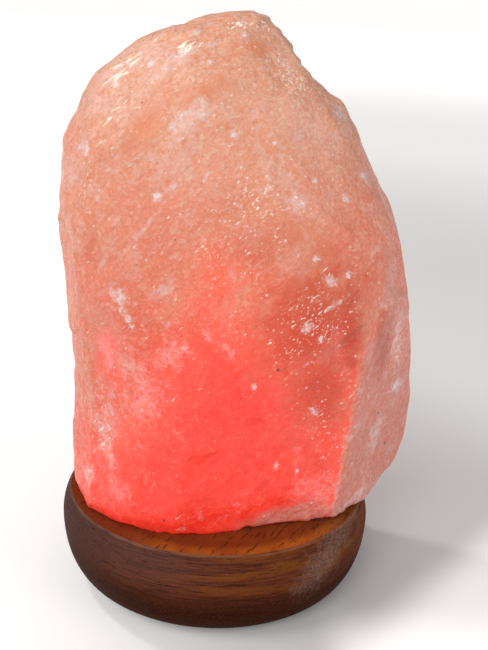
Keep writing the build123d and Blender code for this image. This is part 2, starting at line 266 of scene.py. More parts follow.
# Places on the front, read off the photograph: where in its 488 x 650 frame, half length,
# half width and slope in that frame, how far out the edge starts to fade, and how strong each is
frosted_places = {
    "upper patch": (188, 118, 28, 15, 38, 0.5, 0.75),
    "patch rim": (172, 124, 14, 4, 65, 0.4, 0.8),
    "upper band": (193, 50, 26, 5, 20, 0.4, 0.8),
    "upper haze": (160, 74, 40, 12, 36, 0.2, 0.45),
    "bright fleck": (157, 198, 5, 4, 60, 0.4, 1.0),
    "fleck trail": (172, 188, 10, 4, 30, 0.2, 0.7),
    "vein top": (118, 296, 14, 8, -60, 0.4, 1.0),
    "vein": (127, 318, 22, 5, -66, 0.4, 1.0),
    "crease": (141, 232, 42, 3, 48, 0.2, 0.55),
    "fold": (103, 262, 12, 4, 60, 0.2, 0.6),
    "left haze": (165, 290, 22, 8, 20, 0.2, 0.6),
    "fleck under vein": (184, 347, 8, 6, 20, 0.3, 0.8),
    "trail under vein": (170, 356, 34, 18, 30, 0.1, 0.5),
    "middle flecks": (296, 203, 16, 12, 60, 0.3, 0.75),
    "middle trail": (266, 188, 12, 7, 20, 0.2, 0.6),
    "crescent": (207, 175, 9, 2, 60, 0.3, 0.8),
    "shoulder": (339, 112, 17, 10, -55, 0.3, 1.0),
    "right rim": (366, 176, 6, 16, 15, 0.4, 0.7),
    "right flecks": (332, 282, 12, 7, -30, 0.2, 0.75),
    "right streak": (335, 305, 16, 3, 35, 0.3, 0.8),
    "right star": (308, 328, 10, 8, 30, 0.2, 0.75),
    "lower streak": (305, 366, 9, 3, 35, 0.3, 0.8),
    "facet fleck": (395, 386, 15, 7, 35, 0.3, 1.0),
    "facet edge": (397, 332, 8, 44, 0, 0.1, 0.85),
    "facet middle": (375, 432, 9, 30, -16, 0.2, 0.72),
    "facet top": (390, 284, 12, 34, -10, 0.2, 0.45),
    "facet foot": (350, 501, 34, 5, 30, 0.3, 0.8),
    "front foot": (316, 492, 36, 24, 24, 0.1, 0.5),
    "lower left": (107, 430, 19, 66, 0, 0.1, 0.72),
    "left cloud": (140, 388, 28, 54, 12, 0.0, 0.62),
    "lower left corner": (89, 475, 10, 12, -30, 0.3, 0.95),
    "left middle": (107, 352, 10, 26, 5, 0.2, 0.5),
    "left foot": (118, 490, 24, 15, -32, 0.1, 0.5),
    "left rim": (84, 147, 8, 12, 30, 0.3, 0.95),
    "bottom chip": (181, 529, 7, 3, 10, 0.4, 0.9),
    "bottom fleck": (200, 518, 5, 7, 0, 0.2, 0.7),
}
pink_places = {
    "upper right": (302, 125, 75, 46, -48, 0.1, 0.75),
    "left": (112, 350, 34, 110, 5, 0.0, 0.7),
    "rim": (112, 68, 76, 12, 46, 0.0, 0.9),
    "middle": (300, 205, 60, 26, 0, 0.0, 0.5),
}
rusty_places = {
    "right of the glow": (312, 316, 96, 66, 48, 0.25, 1.0),
    "above the facet": (350, 330, 26, 60, 12, 0.2, 1.0),
    "beside the facet": (316, 390, 46, 86, 8, 0.1, 0.85),
    "upper facet": (384, 344, 20, 56, 0, 0.15, 1.0),
    "over the glow": (266, 240, 76, 48, 10, 0.0, 0.6),
    "middle": (236, 208, 70, 30, 0, 0.0, 0.4),
    "right, half way": (330, 256, 50, 34, 20, 0.1, 0.6),
    "under the crown": (206, 92, 48, 18, 35, 0.1, 0.6),
    "crown": (256, 48, 26, 18, 0, 0.2, 0.65),
    "upper left": (146, 122, 26, 62, -30, 0.1, 0.70),
    "left": (90, 240, 14, 40, 0, 0.3, 0.45),
}
glowing_places = {
    "tongue": (222, 262, 50, 100, 0, 0.0, 0.34),
    "left wing": (106, 350, 26, 62, 0, 0.0, 0.50),
}
dark_places = {
    "speck in the glow": (278, 370, 3, 2, 0, 0.3, 1.0),
    "speck at the foot": (164, 521, 2, 3, 0, 0.3, 1.0),
    "speck under the crown": (221, 56, 2, 2, 0, 0.3, 0.8),
    "upper speck on the facet": (378, 413, 2, 2, 0, 0.3, 0.9),
    "lower speck on the facet": (385, 443, 2, 2, 0, 0.3, 0.9),
    "smudge in the glow": (205, 385, 8, 4, 55, 0.0, 0.30),
    "lower smudge": (238, 430, 3, 3, 0, 0.0, 0.40),
    "lowest smudge": (247, 458, 5, 3, 60, 0.0, 0.25),
    "brown vein": (353, 333, 20, 3, 40, 0.1, 0.45),
}
# Where painted glints swarm, and below, where they are drawn out in streaks
glint_swarm_places = {
    "right of the crown": (294, 80, 30, 60, 35, 0.0, 0.66),
    "middle": (250, 220, 100, 90, 20, 0.0, 0.44),
    "right of the glow": (314, 318, 84, 80, 20, 0.0, 0.46),
    "left": (84, 190, 16, 60, 0, 0.3, 0.45),
    "lower left": (100, 430, 20, 60, 0, 0.1, 0.36),
    "lower right": (316, 430, 60, 80, 20, 0.0, 0.38),
    "facet rim": (400, 350, 10, 60, 0, 0.1, 0.52),
}
glint_streak_places = {
    "rim": (124, 70, 70, 18, 44, 0.1, 0.85),
    "upper band": (180, 52, 48, 14, 26, 0.1, 0.80),
    "crown": (246, 24, 28, 12, 10, 0.3, 0.65),
    "under the rim": (112, 110, 34, 12, 55, 0.1, 0.60),
}

# Round bright spots: where in the photograph's frame, and half their size there
bright_spots = {
    "top left": (196, 32, 5),
    "top right": (244, 35, 4),
    "under the band": (210, 62, 4),
    "upper left": (150, 63, 5),
    "left of the rim": (116, 85, 4),
    "under the crown": (234, 135, 5),
    "upper middle": (275, 143, 3),
    "right, high": (346, 199, 5),
    "right of the crown": (300, 65, 3),
    "right of the middle": (316, 259, 4),
    "beside the facet": (349, 275, 4),
    "over the glow": (321, 339, 4),
    "in the glow, high": (255, 387, 4),
    "in the glow, right": (314, 412, 6),
    "in the glow, low": (276, 466, 4),
    "in the glow, lowest": (297, 471, 3),
    "left of the middle": (157, 197, 6),
    "right of the middle, high": (315, 181, 4),
    "right rim": (363, 176, 5),
}
spot_edge, spot_strength = 0.2, 1.0


# ---------------------------------------------------------------- salt: its material

salt_colours = {
    "peach": (0.88, 0.41, 0.26),
    "burnt orange": (0.85, 0.135, 0.066),
    "apricot": (0.86, 0.30, 0.15),
    "rose": (0.88, 0.50, 0.43),
    "brick": (0.80, 0.24, 0.12),
    "upper pink": (0.92, 0.50, 0.38),
    "lower pink": (0.88, 0.28, 0.21),
    "upper rust": (0.82, 0.24, 0.095),
    "lower rust": (0.66, 0.042, 0.006),
    # Painted light: lit copies of the red where the glow shows
    "lit red": (0.74, 0.038, 0.022),
    "deep red": (0.66, 0.019, 0.010),
    "split face": (0.75, 0.168, 0.108),
    "rusty split face": (0.55, 0.074, 0.034),
    "line on the split face": (0.88, 0.52, 0.47),
    "frost": (0.91, 0.72, 0.70),
    "lit frost": (0.90, 0.46, 0.42),
    "thick frost": (0.96, 0.86, 0.88),
    "lit thick frost": (0.95, 0.66, 0.64),
    "upper grain": (0.95, 0.72, 0.60),
    "lower grain": (0.93, 0.46, 0.34),
    "dark cell": (0.66, 0.16, 0.08),
    "dark grit": (0.64, 0.14, 0.07),
    # Painted glints in two colours
    "golden glint": (1.0, 0.91, 0.79),
    "frosty glint": (0.98, 0.88, 0.90),
    "speck": (0.12, 0.04, 0.03),
    # Painted light: the glow's colours and the light of the painted glints
    "faint glow": (1.0, 0.09, 0.055),
    "full glow": (1.0, 0.034, 0.019),
    "glowing glint": (1.0, 0.75, 0.55),
}
salt_ior = 1.54

# The direction in which the grain is drawn out, along the upper left rim
along_rim = (0, math.radians(-42), 0)

# The painted glow of the bulb inside: the height of its middle, how far its sides draw in with the
# height and how much more the left one does, where it fades to the right, to the left and upwards,
# how far noise moves its rim, the reach at which it ends and from which it is full, and what is left
# of it on the split face
glow_middle_z = 0.046
glow_lean, glow_left_lean = 0.34, 1.5
glow_fades_right = (0.010, 0.062)
glow_fades_left = (-0.014, -0.056)
glow_fades_up = (0.058, 0.150)
glow_blotch_waver, glow_cloud_waver = 0.36, 0.34
glow_end, glow_full = 1.05, 0.12
glow_on_split_face = 0.06

# How strongly the salt's painted light shines: in the glow, along the split face's edge, and in the flecks,
# which are painted glints
glow_strength, facet_edge_strength, glint_strength = 0.43, 0.09, 0.10


def split_face(f, z):
    """The split face on the right, which the bulb's painted light hardly reaches, and the edge before it,
    where a bright line of painted light goes.
    """
    beyond = f.minus(f.vector("DOT_PRODUCT", f.place, facet_normal),
                     facet_normal.dot(crystal_middle) + facet_distance)
    waver = f.times(f.minus(f.noise(0.008, detail=4, rough=0.6), 0.5), 0.0030)
    beyond = f.plus(beyond, waver)
    soft_top = f.span(z, 0.075, 0.105, 0.0006, 0.0060)
    facet = f.span(beyond, f.times(soft_top, -1.0), f.times(soft_top, 0.4))
    edge = f.times(f.span(beyond, -0.0030, -0.0008), f.span(beyond, 0.0006, -0.0002))
    return facet, f.times(edge, f.span(z, 0.105, 0.075))


def salt_glow(f, facet, tongue, blotches, clouds):
    """How strongly the bulb's light inside shows, as painted light: most low in the middle, fading upwards
    and sideways.
    """
    x, z = f.axis("X"), f.axis("Z")
    drawn_in = f.times(f.minus(z, glow_middle_z), glow_lean)
    right = f.span(f.plus(x, drawn_in), *glow_fades_right, smooth=False)
    left = f.span(f.minus(x, f.times(drawn_in, glow_left_lean)), *glow_fades_left, smooth=False)
    above = f.span(z, *glow_fades_up, smooth=False)
    sideways = f.math("POWER", f.plus(right, left), 2.0)
    reach = f.math("SQRT", f.plus(sideways, f.math("POWER", above, 2.0)))
    for waver, size in ((blotches, glow_blotch_waver), (clouds, glow_cloud_waver)):
        reach = f.plus(reach, f.times(f.minus(waver, 0.5), size))
    reach = f.minus(reach, tongue)
    return f.times(f.span(reach, glow_end, glow_full), f.dimmed(facet, glow_on_split_face))


def pale_foot(f, x, z, veins):
    """The pale foot of the crystal, low on the right."""
    top = f.span(x, 0.004, 0.030, 0.0330, 0.0395)
    top = f.minus(top, f.span(x, 0.030, 0.046, 0.0, 0.0045))
    foot = f.span(f.minus(f.plus(z, f.times(veins, 0.010)), top), 0.0070, 0.0010)
    return f.times(foot, f.span(x, 0.000, 0.016))


def salt_finish(skin):
    """The rock salt. skin is the crystal's surface, on which the named places are found."""
    f = Finish("rock_salt")
    colour = salt_colours
    x, z = f.axis("X"), f.axis("Z")
    clouds = f.noise(0.030, detail=4, rough=0.55, warp=0.4)
    blotches = f.noise(0.012, detail=5, rough=0.62, warp=0.8)
    veins = f.noise(0.006, detail=5, rough=0.66, warp=0.6)
    grit = f.noise(0.0010, detail=4, rough=0.80)

    # Zones: the split face, rust, the painted glow, the pale foot, and warmth from the crown down
    facet, facet_edge = split_face(f, z)
    rusty = f.painted(skin, rusty_places, veins, fray=1.2)
    glow_share = salt_glow(f, facet, f.painted(skin, glowing_places, veins, fray=1.0), blotches, clouds)
    glow_share = f.times(glow_share, f.dimmed(rusty, 0.40, smooth=False))
    foot = pale_foot(f, x, z, veins)
    glow_share = f.times(glow_share, f.dimmed(foot, 0.34))
    low = f.plus(z, f.times(f.minus(clouds, 0.5), 0.040))
    warmth = f.times(f.span(low, 0.168, 0.082), f.dimmed(facet, 0.35))

    # Body colour: peach above and burnt orange below, with pink and rusty zones, a painted lit red in the
    # glow, and painted shade on the split face
    body = f.mix(warmth, colour["peach"], colour["burnt orange"])
    body = f.mix(f.times(f.span(clouds, 0.42, 0.66), 0.50), body, colour["apricot"])
    pink_share = f.times(f.span(blotches, 0.52, 0.60), f.span(warmth, 0.0, 1.0, 0.42, 0.18))
    body = f.mix(pink_share, body, colour["rose"])
    body = f.mix(f.times(f.span(veins, 0.56, 0.66), 0.45), body, colour["brick"])
    pink_share = f.times(f.painted(skin, pink_places, blotches), 0.6)
    body = f.mix(pink_share, body, f.mix(warmth, colour["upper pink"], colour["lower pink"]))
    rust = f.mix(warmth, colour["upper rust"], colour["lower rust"])
    body = f.mix(f.times(rusty, 0.95), body, rust)
    # Painted light: in the glow the colour turns to a lit red
    glow_lit_red = f.mix(f.span(veins, 0.35, 0.7), colour["lit red"], colour["deep red"])
    body = f.mix(f.times(glow_share, 0.97), body, glow_lit_red)
    # Painted shade: the split face is darker, partly in its own rusty colour and partly because it faces
    # away from the lamps
    split = f.mix(rusty, colour["split face"], colour["rusty split face"])
    body = f.mix(f.times(facet, 0.85), body, split)
    leaning = f.stretched((1.0, 1.0, 2.6), (0, math.radians(8), 0))
    lines = f.noise(0.0040, detail=5, rough=0.7, warp=0.4, place=leaning)
    lines = f.times(f.span(lines, 0.52, 0.66), facet)
    body = f.mix(f.times(lines, 0.35), body, colour["line on the split face"])

    # Frost: named places and a scatter of smaller ones, broken up by the grain
    ragged = f.noise(0.0045, detail=6, rough=0.80, warp=0.6)
    frosty = f.painted(skin, frosted_places, ragged, fray=4.5)
    spots = {name: (u, v, size, size, 0, spot_edge, spot_strength)
             for name, (u, v, size) in bright_spots.items()}
    spotted = f.painted(skin, spots, grit, fray=5.0)
    scattered = f.span(f.noise(0.011, detail=7, rough=0.80, warp=0.5), 0.575, 0.660)
    frost = f.times(scattered, f.span(rusty, 0.0, 1.0, 0.55, 0.2))
    frost = f.larger(frost, f.times(foot, 0.55))
    frost = f.larger(frost, frosty)
    frost = f.times(frost, f.span(f.noise(0.0018, detail=5, rough=0.78), 0.40, 0.60, 0.30, 1.0))
    frost = f.larger(frost, spotted)
    # Painted light: under the glow the frost takes lit copies of its colours
    pale = f.mix(glow_share, colour["frost"], colour["lit frost"])
    thick = f.span(frost, 0.65, 1.0)
    pale = f.mix(thick, pale, f.mix(glow_share, colour["thick frost"], colour["lit thick frost"]))
    body = f.mix(f.times(frost, 0.85), body, pale)

    # Grain: a mosaic of small crystals and the grit in it, lighter and darker than the body
    mosaic = f.cells(0.0010, place=f.stretched((1.5, 1.0, 1.0), along_rim))
    shade = f.axis("X", mosaic.outputs["Color"])
    clear = f.times(f.span(glow_share, 0.0, 0.7, 1.0, 0.28), f.span(rusty, 0.0, 0.8, 1.0, 0.12))
    even = f.times(clear, f.dimmed(facet, 0.3))
    light_grain = f.mix(warmth, colour["upper grain"], colour["lower grain"])
    for value, starts, ends, share, grain, where in (
        (shade, 0.60, 1.0, 0.26, light_grain, clear),
        (shade, 0.34, 0.0, 0.16, colour["dark cell"], even),
        (grit, 0.53, 0.64, 0.50, light_grain, clear),
        (grit, 0.46, 0.34, 0.22, colour["dark grit"], even),
    ):
        body = f.mix(f.times(f.span(value, starts, ends, 0.0, share), where), body, grain)

    # Painted glints: bright flecks in swarms, streaks along the rim, and single points, standing in for
    # highlights
    glint_swarms = f.times(f.painted(skin, glint_swarm_places, blotches), 0.26)
    glint_swarms = f.plus(glint_swarms, f.times(frosty, 0.09))
    glint_noise = f.noise(0.00062, detail=3, rough=0.65, warp=0.5, place=f.stretched((2.0, 1.0, 1.0), along_rim))
    fleck = f.span(f.plus(glint_noise, glint_swarms), 0.680, 0.790)
    streaks = f.noise(0.0008, detail=3, rough=0.6, warp=0.3, place=f.stretched((6.0, 2.0, 1.0), along_rim))
    glint_swarms = f.times(f.painted(skin, glint_streak_places, blotches), 0.285)
    fleck = f.larger(fleck, f.span(f.plus(streaks, glint_swarms), 0.705, 0.760))
    points = f.cells(0.0018, place=f.stretched((1.5, 1.0, 1.0), along_rim))
    point = f.times(f.span(points.outputs["Distance"], 0.22, 0.06),
                    f.span(f.axis("Y", points.outputs["Color"]), 0.50, 1.00, 0.0, 0.90, smooth=False))
    point = f.times(point, f.span(glow_share, 0.2, 1.0, 1.0, 0.40))
    fleck = f.larger(fleck, point)
    fleck = f.times(fleck, f.dimmed(glow_share, 0.6))
    glint = f.mix(frosty, colour["golden glint"], colour["frosty glint"])
    body = f.mix(f.times(fleck, 0.9), body, glint)

    # Dark specks: a random few, and the named ones
    dark = f.cells(0.011)
    dots = f.times(f.span(dark.outputs["Distance"], 0.045, 0.030),
                   f.span(f.axis("X", dark.outputs["Color"]), 0.80, 0.82))
    dots = f.larger(dots, f.painted(skin, dark_places, ragged, fray=3.0))
    body = f.mix(f.times(dots, 0.85), body, colour["speck"])
    f.set("Base Color", body)

    # Painted light given off: the bulb's glow from inside, a bright line along the split face's edge, and
    # painted glints in the flecks
    glow_colour = f.mix(glow_share, colour["faint glow"], colour["full glow"])
    f.set("Emission Color", f.mix(fleck, glow_colour, colour["glowing glint"]))
    dim = f.times(f.dimmed(frost, 0.6), f.span(veins, 0.3, 0.7, 1.10, 0.86))
    dim = f.times(dim, f.dimmed(dots, 0.2))
    shine = f.times(f.times(glow_share, dim), glow_strength)
    # A painted bright line of light along the split face's edge
    shine = f.plus(shine, f.times(facet_edge, facet_edge_strength))
    f.set("Emission Strength", f.plus(shine, f.times(fleck, glint_strength)))

    gloss = f.span(f.noise(0.0020, detail=4, rough=0.7), 0.35, 0.65, 0.22, 0.58)
    f.set("Roughness", f.times(gloss, f.dimmed(fleck, 0.5)))
    f.set("IOR", salt_ior)
    ridges = f.noise(0.0042, detail=5, rough=0.62, warp=0.5, place=f.stretched((2.6, 1.2, 1.0), along_rim))
    soft = f.times(f.span(glow_share, 0.0, 0.8, 1.0, 0.25), f.dimmed(facet, 0.5))
    normal = f.bump(ridges, 0.0011, soft)
    normal = f.bump(mosaic.outputs["Distance"], 0.00012, soft, over=normal)
    f.set("Normal", f.bump(grit, 0.00014, soft, over=normal))
    return f.material


# ---------------------------------------------------------------- salt: its shape

# The block is remeshed this finely, and its sharp edges are worn by rounds of smoothing
voxel_size = 0.0008
wear, wear_rounds = 0.5, 14

# The skin moves only outside the cavity and the screws' holes, and above the underside
cavity_reach, cavity_top = 0.0215, 0.0995
screw_offset, screw_reach, screw_top = 0.030, 0.004, 0.048
underside_margin, lift_height = 0.0004, 0.001

# The skin stands this far out all over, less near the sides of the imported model's box
skin_rise = 0.0011
box_margin = 0.002

# The split face keeps this share of the unevenness, from just before its plane on
facet_keeps = 0.2
facet_starts_before, facet_soft_width = 0.0016, 0.0008

# Small flat chips
chip_seed, chip_count = 11, 170
chip_reach, chip_fade = 0.020, 0.006
chip_lean = 0.05
chip_bite = (0.0002, 0.0009)
deepest_chip = 0.0012

# Curved steps of a shell-like break, on the upper left
ripple_height, ripple_spacing = 0.0008, 0.0052
ripple_slope = 0.75  # the share of each step that rises

# Bites out of the foot's rim
bite_depth, bite_height = 0.0026, 0.005
foot_inner_radius, foot_least_outwards = 0.026, 0.30

# Places where the outline lies beyond the cut faces, or inside them where the height is below zero:
# where in the photograph's frame, reach and height
swellings = {
    "left flank": (66, 146, 0.015, 0.0012),
    "shoulder": (338, 106, 0.006, 0.0022),
    "lower right": (364, 494, 0.008, 0.0014),
    "left, half way": (76, 345, 0.014, 0.0006),
    "front foot": (215, 522, 0.022, 0.0020),
    "right, half way": (404, 325, 0.012, -0.0009),
}


def welded_copy(node, name):
    """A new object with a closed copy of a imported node's mesh."""
    mesh = nodes[node].data.copy()
    shape = bmesh.new()
    shape.from_mesh(mesh)
    bmesh.ops.remove_doubles(shape, verts=shape.verts, dist=1e-6)
    shape.to_mesh(mesh)
    shape.free()
    if mesh.has_custom_normals:
        mesh.attributes.remove(mesh.attributes["custom_normal"])
    mesh.materials.clear()
    piece = bpy.data.objects.new(name, mesh)
    scene.collection.objects.link(piece)
    return piece


def bake_modifiers(piece):
    """Replaces a piece's mesh with what its modifiers make of it."""
    graph = bpy.context.evaluated_depsgraph_get()
    graph.update()
    mesh = bpy.data.meshes.new_from_object(piece.evaluated_get(graph))
    piece.modifiers.clear()
    piece.data = mesh


def read_vectors(mesh_items, what):
    """One vector of each item, as the rows of an array."""
    values = np.empty(len(mesh_items) * 3, np.float32)
    mesh_items.foreach_get(what, values)
    return values.reshape(-1, 3).astype(float)


def skin_of(points, faces):
    """A surface that lines of sight can be cast at."""
    return BVHTree.FromPolygons([Vector(point) for point in points], faces)


def lattice_noise(points, size, seed):
    """Smooth value noise from -1 to 1, worked out for all points at once."""
    cell = np.floor(points / size + seed * 17.3)
    part = points / size + seed * 17.3 - cell
    part = part * part * (3 - 2 * part)
    total = np.zeros(len(points))
    for corner in range(8):
        step = np.array([corner & 1, corner >> 1 & 1, corner >> 2 & 1], float)
        key = (cell + step) @ np.array([127.1, 311.7, 74.7]) + seed * 53.1
        value = np.modf(np.abs(np.sin(key) * 43758.5453))[0] * 2 - 1
        total += value * np.prod(np.where(step > 0, part, 1 - part), axis=1)
    return total


def chip_depth(points, normals, free):
    """How deep a set of small flat chips, struck at random all over, cut below each point."""
    rng = np.random.default_rng(chip_seed)
    depth = np.zeros(len(points))
    for struck in rng.choice(np.flatnonzero(free), chip_count, replace=False):
        lean = normals[struck] + rng.normal(0, chip_lean, 3)
        lean /= np.linalg.norm(lean)
        away = np.linalg.norm(points - points[struck], axis=1)
        near = away < chip_reach
        level = (points[near] - points[struck]) @ lean + rng.uniform(*chip_bite)
        level *= np.clip((chip_reach - away[near]) / chip_fade, 0, 1)
        depth[near] = np.maximum(depth[near], level)
    return np.clip(depth, 0, deepest_chip)


def ripple_depth(points):
    """How deep the curved steps of the shell-like break lie below each point."""
    x, z = points[:, 0], points[:, 2]
    upper_left = np.clip((z - 0.55 * x - 0.125) / 0.030, 0, 1)
    across = (z * 0.74 - x * 0.67) / ripple_spacing
    across += 0.55 * lattice_noise(points, size=0.020, seed=5)
    across += 0.22 * lattice_noise(points, size=0.007, seed=6)
    step = across - np.floor(across)
    step_height = np.clip(np.minimum(step / ripple_slope, (1 - step) / (1 - ripple_slope)), 0, 1)
    strength = 0.5 + 0.5 * lattice_noise(points, size=0.014, seed=7)
    return ripple_height * upper_left * strength * step_height


def uneven_depth(points):
    """How deep the wavy unevenness of the hewn sides lies below each point."""
    depth = 0.0007 * lattice_noise(points, size=0.024, seed=1)
    depth += 0.0004 * np.abs(lattice_noise(points, size=0.010, seed=2))
    depth += 0.0002 * lattice_noise(points, size=0.0046, seed=3)
    depth += 0.0001 * lattice_noise(points, size=0.0021, seed=4)
    return depth


def foot_bites(points, outwards, radius, above_underside):
    """How strongly the rim of the foot is bitten away at each point, from 0 to 1."""
    foot = (outwards > foot_least_outwards) & (radius > foot_inner_radius)
    bites = np.clip(1 - above_underside / bite_height, 0, 1) * foot
    waves = lattice_noise(points, size=0.0075, seed=8) + 0.25 * lattice_noise(points, size=0.0030, seed=9)
    return bites * np.clip(waves, 0, 1)


def hewn_crystal():
    """The crystal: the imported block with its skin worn, chipped and rippled."""
    piece = welded_copy("salt_crystal", "hewn_crystal")
    remesh = piece.modifiers.new("voxels", "REMESH")
    remesh.mode = "VOXEL"
    remesh.voxel_size = voxel_size
    bake_modifiers(piece)
    worn = piece.modifiers.new("worn", "SMOOTH")
    worn.factor, worn.iterations = wear, wear_rounds
    bake_modifiers(piece)
    mesh = piece.data
    points = read_vectors(mesh.vertices, "co")
    normals = read_vectors(mesh.vertex_normals, "vector")
    faces = [tuple(face.vertices) for face in mesh.polygons]

    underside_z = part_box("salt_crystal")[0].z
    radius = np.hypot(points[:, 0], points[:, 1])
    outside = (radius > cavity_reach) | (points[:, 2] > cavity_top)
    screw_way = np.hypot(np.abs(points[:, 0]) - screw_offset, points[:, 1]) < screw_reach
    screw_way &= points[:, 2] < screw_top
    free = outside & ~screw_way & (points[:, 2] > underside_z + underside_margin)
    lift = np.clip((points[:, 2] - underside_z) / lift_height, 0, 1)

    depth = uneven_depth(points) + (chip_depth(points, normals, free) + ripple_depth(points))
    beyond = (points - np.array(crystal_middle)) @ np.array(facet_normal) - facet_distance
    on_facet = np.clip((beyond + facet_starts_before) / facet_soft_width, 0, 1)
    depth *= 1 - (1 - facet_keeps) * on_facet

    rise = np.full(len(points), skin_rise)
    cut_skin = skin_of(points, faces)
    for u, v, reach, height in swellings.values():
        away = np.linalg.norm(points - np.array(seen_place(cut_skin, u, v)), axis=1)
        rise += height * np.exp(-((away / reach) ** 2))
    room = np.minimum(points - np.array(cad_low), np.array(cad_high) - points).min(axis=1)
    rise *= np.clip(room / box_margin, 0, 1)

    outwards = (normals[:, :2] * points[:, :2]).sum(axis=1) / np.maximum(radius, 0.001)
    bites = foot_bites(points, outwards, radius, points[:, 2] - underside_z) * ~screw_way
    moved = points + normals * ((rise - depth) * free * lift - bite_depth * bites)[:, None]
    moved = np.clip(moved, (cad_low.x, cad_low.y, underside_z), np.array(cad_high))
    mesh.vertices.foreach_set("co", moved.astype(np.float32).ravel())
    mesh.shade_smooth()
    mesh.update()
    mesh.materials.append(salt_finish(skin_of(moved, faces)))
    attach(piece, "lamp_body")
    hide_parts("salt_crystal")


# ---------------------------------------------------------------- wood

# Dusty places, as the salt's places above
wood_dust = {
    "scuff": (327, 554, 66, 24, 53, 0.1, 1.0),
    "rim scuff": (350, 520, 24, 13, 60, 0.2, 0.6),
    "left bloom": (84, 505, 30, 10, -60, 0.2, 0.25),
}
wood_colours = {
    "dark streak": (0.074, 0.0182, 0.0075),
    "light streak": (0.182, 0.0455, 0.0185),
    "warm band": (0.215, 0.060, 0.011),
    "dark foot": (0.030, 0.0050, 0.0012),
    "dark left": (0.048, 0.016, 0.010),
    "violet": (0.092, 0.050, 0.048),
    "pore": (0.020, 0.007, 0.004),
    "rim": (0.33, 0.17, 0.115),
    "dust": (0.34, 0.245, 0.20),
    "speckle": (0.24, 0.135, 0.095),
    "top": (0.30, 0.080, 0.014),
    "light top": (0.42, 0.135, 0.020),
    "red top and painted shadow": (0.150, 0.026, 0.009),
    "dark top": (0.115, 0.042, 0.017),
    "line on the top": (0.070, 0.018, 0.008),
}
top_grain_angle = math.radians(-24)


def wood_finish(skin):
    """The stained wood. skin is the base's surface, on which the dusty places are found."""
    f = Finish("stained_wood")
    colour = wood_colours
    x, z = f.axis("X"), f.axis("Z")
    facing = f.axis("Z", f.add("ShaderNodeNewGeometry").outputs["Normal"])
    top = f.span(facing, 0.90, 0.98)
    streaks = f.noise(0.0011, detail=6, rough=0.70, warp=0.25, place=f.stretched((16, 4.0, 0.5)))
    bands = f.noise(0.006, place=f.stretched((7, 2.0, 0.6)))
    pores = f.noise(0.0006, rough=0.7, place=f.stretched((14, 3, 0.7)))

    # The side: streaks along the turning, darker low down and on the left, with dust on the right
    side = f.mix(f.span(streaks, 0.36, 0.64), colour["dark streak"], colour["light streak"])
    warm = f.times(f.span(bands, 0.46, 0.64), f.span(x, -0.030, 0.0, 0.25, 0.75))
    side = f.mix(warm, side, colour["warm band"])
    side = f.mix(f.span(z, 0.022, 0.011, 0.0, 0.88), side, colour["dark foot"])
    side = f.mix(f.span(x, -0.018, -0.045, 0.0, 0.70), side, colour["dark left"])
    violet = f.times(f.span(z, 0.013, 0.027), f.span(x, 0.012, -0.022))
    side = f.mix(f.times(violet, 0.50), side, colour["violet"])
    side = f.mix(f.times(f.span(pores, 0.57, 0.68), 0.85), side, colour["pore"])
    # The rounded rim is paler, partly from wear and partly as a painted highlight where it turns up to the
    # light
    rim = f.times(f.span(facing, 0.60, 0.84), f.span(streaks, 0.35, 0.6, 0.15, 0.7))
    side = f.mix(rim, side, colour["rim"])
    dust = f.painted(skin, wood_dust, f.noise(0.006, detail=5, rough=0.7))
    dust = f.times(dust, f.span(f.noise(0.0008, detail=6, rough=0.85), 0.40, 0.64, 0.15, 1.0))
    side = f.mix(f.times(dust, 0.62), side, colour["dust"])
    side = f.mix(f.span(f.noise(0.0007, rough=0.7), 0.54, 0.68, 0.0, 0.16), side, colour["speckle"])

    # The flat top: straight grain, a darker red inwards as painted shadow under the crystal's edge, redder
    # on the left, darker on the right
    radius = f.vector("LENGTH", f.vector("MULTIPLY", f.place, (1, 1, 0)))
    straight = f.stretched((1.0, 7.0, 6.0), (0, 0, top_grain_angle))
    lines = f.noise(0.0009, detail=4, rough=0.66, warp=0.5, place=straight)
    flame = f.noise(0.010, place=f.stretched((1.0, 2.5, 1.0)))
    upper = f.mix(f.span(flame, 0.35, 0.65), colour["top"], colour["light top"])
    # Painted shadow: darker red towards the crystal; the red on the left is the wood's own
    red = f.larger(f.span(radius, 0.0460, 0.0415, 0.0, 0.75), f.span(x, 0.0, -0.030, 0.0, 0.85))
    upper = f.mix(red, upper, colour["red top and painted shadow"])
    upper = f.mix(f.span(x, 0.024, 0.044, 0.0, 0.60), upper, colour["dark top"])
    upper = f.mix(f.times(f.span(lines, 0.53, 0.64), 0.8), upper, colour["line on the top"])

    f.set("Base Color", f.mix(top, side, upper))
    f.set("Roughness", f.span(streaks, 0.3, 0.7, 0.50, 0.70))
    f.set("Specular IOR Level", 0.03)
    turned = f.noise(0.0011, place=f.stretched((40, 40, 0.6)))
    f.set("Normal", f.bump(f.plus(turned, f.times(streaks, 1.2)), 0.00014))
    return f.material


# ---------------------------------------------------------------- other finishes

plain_grain_size = 0.0012
plain_cloud_size = plain_grain_size * 6

